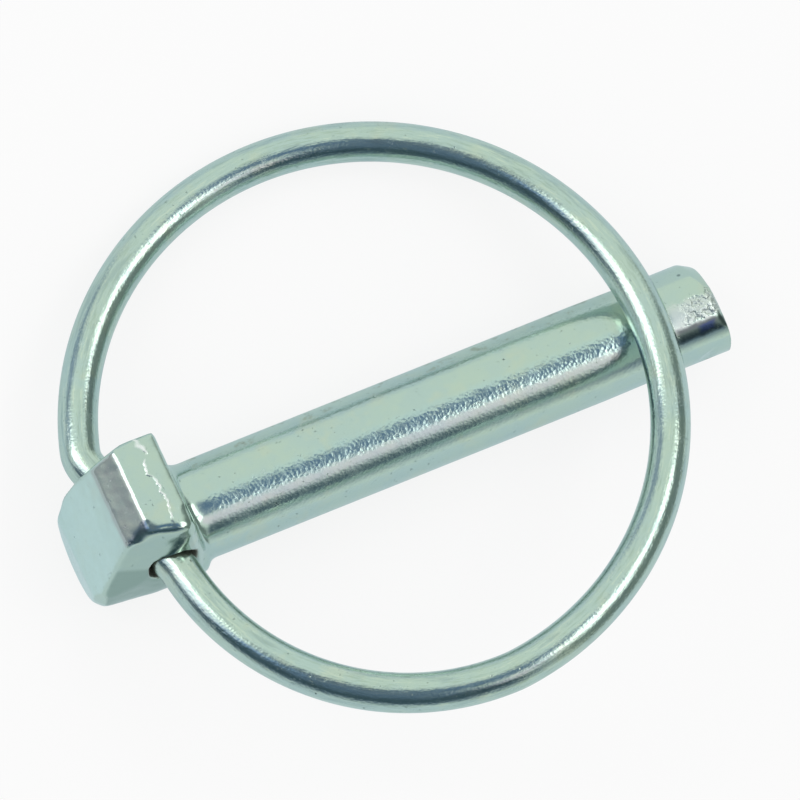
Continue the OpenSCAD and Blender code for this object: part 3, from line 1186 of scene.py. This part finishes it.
@dataclass
class Studio:
    """Pale floor, two soft panels and a pale tent with darker and paler parts.

    Attributes:
        camera: where the picture is taken from.
        away, shine: distance of the panels in metres, and their radiance.
        floor_size: size of the floor, in metres.
        tent, parts: colour of the tent in reflections, and what is laid over it in turn.
        floor, near_floor: colours of the floor itself, and of the floor in reflections.
        fill: brightness of the world on what isn't glossy.
        held_white, held_pale: shares of the floor that show and reflect plain colours.
    """

    camera: Camera
    away: float = 0.6
    shine: float = 1.65
    floor_size: float = 6.0
    tent: Colour = (0.82, 0.90, 0.85)
    parts: Sequence[Shade] = (
        Shade(0.0, (400.0, 380.0), (-2.0, -1.0), (22.0, 13.0), (0.15, 0.20, 0.27)),
        Shade(18.0, (44.0, 30.0), (5.0, 10.0), (36.0, 25.0), (0.13, 0.21, 0.34)),
        Shade(-110.0, (76.0, 62.0), (6.0, 14.0), (94.0, 62.0), (0.12, 0.18, 0.27)),
        Shade(-105.0, (70.0, 56.0), (22.0, 46.0), (72.0, 58.0), (0.05, 0.09, 0.12)),
        Shade(-28.0, (20.0, 9.0), (26.0, 33.0), (50.0, 40.0), (1.00, 0.88, 1.00)),
        Shade(-172.0, (15.0, 9.0), (13.0, 20.0), (46.0, 36.0), (0.30, 0.46, 0.78)),
        Shade(4.0, (50.0, 34.0), (48.0, 62.0), (104.0, 92.0), (0.20, 0.25, 0.24)),
        Shade(172.0, (44.0, 30.0), (64.0, 74.0), (98.0, 88.0), (0.44, 0.50, 0.52)),
        Shade(142.0, (20.0, 10.0), (52.0, 60.0), (92.0, 84.0), (0.31, 0.39, 0.50)),
        Shade(174.0, (18.0, 9.0), (24.0, 32.0), (58.0, 48.0), (1.15, 1.20, 1.32)),
    )
    floor: Colour = (0.9, 0.9, 0.9)
    near_floor: Colour = (0.59, 0.755, 0.82)
    fill: float = 0.75
    held_white: float = 0.82
    held_pale: float = 0.6

    def build(self) -> None:
        """Builds the floor, the world and the panels."""
        self._floor()
        self._world()
        for panel in Panel:
            self._panel(panel)

    def _floor(self) -> None:
        """Adds the floor: white to the camera, pale in reflections, with its shadows."""
        half = self.floor_size / 2
        mesh = bpy.data.meshes.new("floor")
        mesh.from_pydata(
            [(-half, -half, 0), (half, -half, 0), (half, half, 0), (-half, half, 0)],
            [],
            [(0, 1, 2, 3)],
        )
        floor = placed("floor", mesh)
        made = bpy.data.materials.new("floor")
        made.use_nodes = True
        kit = NodeKit(made.node_tree)
        kit.tree.nodes.clear()
        ray = kit.node("ShaderNodeLightPath")
        shown = kit.node("ShaderNodeBsdfDiffuse", None, {"Color": self.floor})
        for sort, colour, held in (
            ("Is Camera Ray", (1.0,) * 3, self.held_white),
            ("Is Glossy Ray", self.near_floor, self.held_pale),
        ):
            plain = kit.node("ShaderNodeEmission", None, {"Color": colour})
            share = kit.number(ray.outputs[sort]) * held
            shown = kit.node(
                "ShaderNodeMixShader", None, {0: share, 1: shown.outputs[0], 2: plain.outputs[0]}
            )
        kit.node("ShaderNodeOutputMaterial", None, {0: shown.outputs[0]})
        mesh.materials.append(made)

    def _world(self) -> None:
        """Builds the world: white to the camera, and the tent in reflections."""
        world = bpy.data.worlds.new("tent")
        bpy.context.scene.world = world
        world.use_nodes = True
        kit = NodeKit(world.node_tree)
        kit.tree.nodes.clear()
        ray = kit.node("ShaderNodeLightPath")
        way = kit.node("ShaderNodeTexCoord").outputs["Generated"]
        right, up, back = (kit.dot(way, axis) for axis in self.camera.axes())
        off = kit.maths("ARCCOSINE", back) * math.degrees(1.0)
        round_it = kit.maths("ARCTAN2", up, right) * math.degrees(1.0)
        seen: Any = self.tent
        for part in self.parts:
            turned = kit.maths("WRAP", round_it - part.towards, 180.0, -180.0)
            inside = kit.step(kit.maths("ABSOLUTE", turned), *part.half)
            inside = inside * kit.step(off, *part.near) * kit.step(off, *part.far)
            seen = kit.blend(inside, seen, part.colour)
        glossy = kit.blend(ray.outputs["Is Glossy Ray"], (self.fill,) * 3, seen)
        shown = kit.blend(ray.outputs["Is Camera Ray"], glossy, (1.0, 1.0, 1.0))
        lit = kit.node("ShaderNodeBackground", None, {"Color": shown})
        kit.node("ShaderNodeOutputWorld", None, {0: lit.outputs[0]})

    def _panel(self, panel: Panel) -> None:
        """Adds one soft panel that faces the object."""
        right, up, wide, high = panel.value
        data = bpy.data.lights.new(f"panel_{panel.name.lower()}", "AREA")
        data.shape = "RECTANGLE"
        data.size = 2 * self.away * math.tan(math.radians(wide / 2))
        data.size_y = 2 * self.away * math.tan(math.radians(high / 2))
        data.energy = self.shine * math.pi * data.size * data.size_y
        lamp = placed(data.name, data)
        back = self.camera.direction(right, up)
        rightward = np.cross(self.camera.axes()[1], back)
        rightward /= np.linalg.norm(rightward)
        axes = np.array([rightward, np.cross(back, rightward), back])
        aimed(lamp, axes, back * self.away)
        lamp.visible_camera = False


# ---------------- the whole


def main() -> None:
    """Builds the pin, the ring and the studio."""
    logging.basicConfig(level=logging.INFO, format="%(message)s")
    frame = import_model()
    bpy.context.scene.view_settings.view_transform = "Standard"

    hinge = Hinge()
    axes = PinFrame.of(frame["record"], hinge)
    camera = Camera()
    camera.build()
    Studio(camera).build()

    pin = ForgedPin(axes, hinge).build(frame["nodes"]["pin"])
    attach(pin, "pin")
    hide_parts("pin")
    log.info("pin_body: %d faces", len(pin.data.polygons))

    wire = WireRing(axes, hinge).build()
    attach(wire, "ring")
    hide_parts("ring")
    log.info("ring_wire: %d faces", len(wire.data.polygons))


if __name__ == "__main__":
    main()
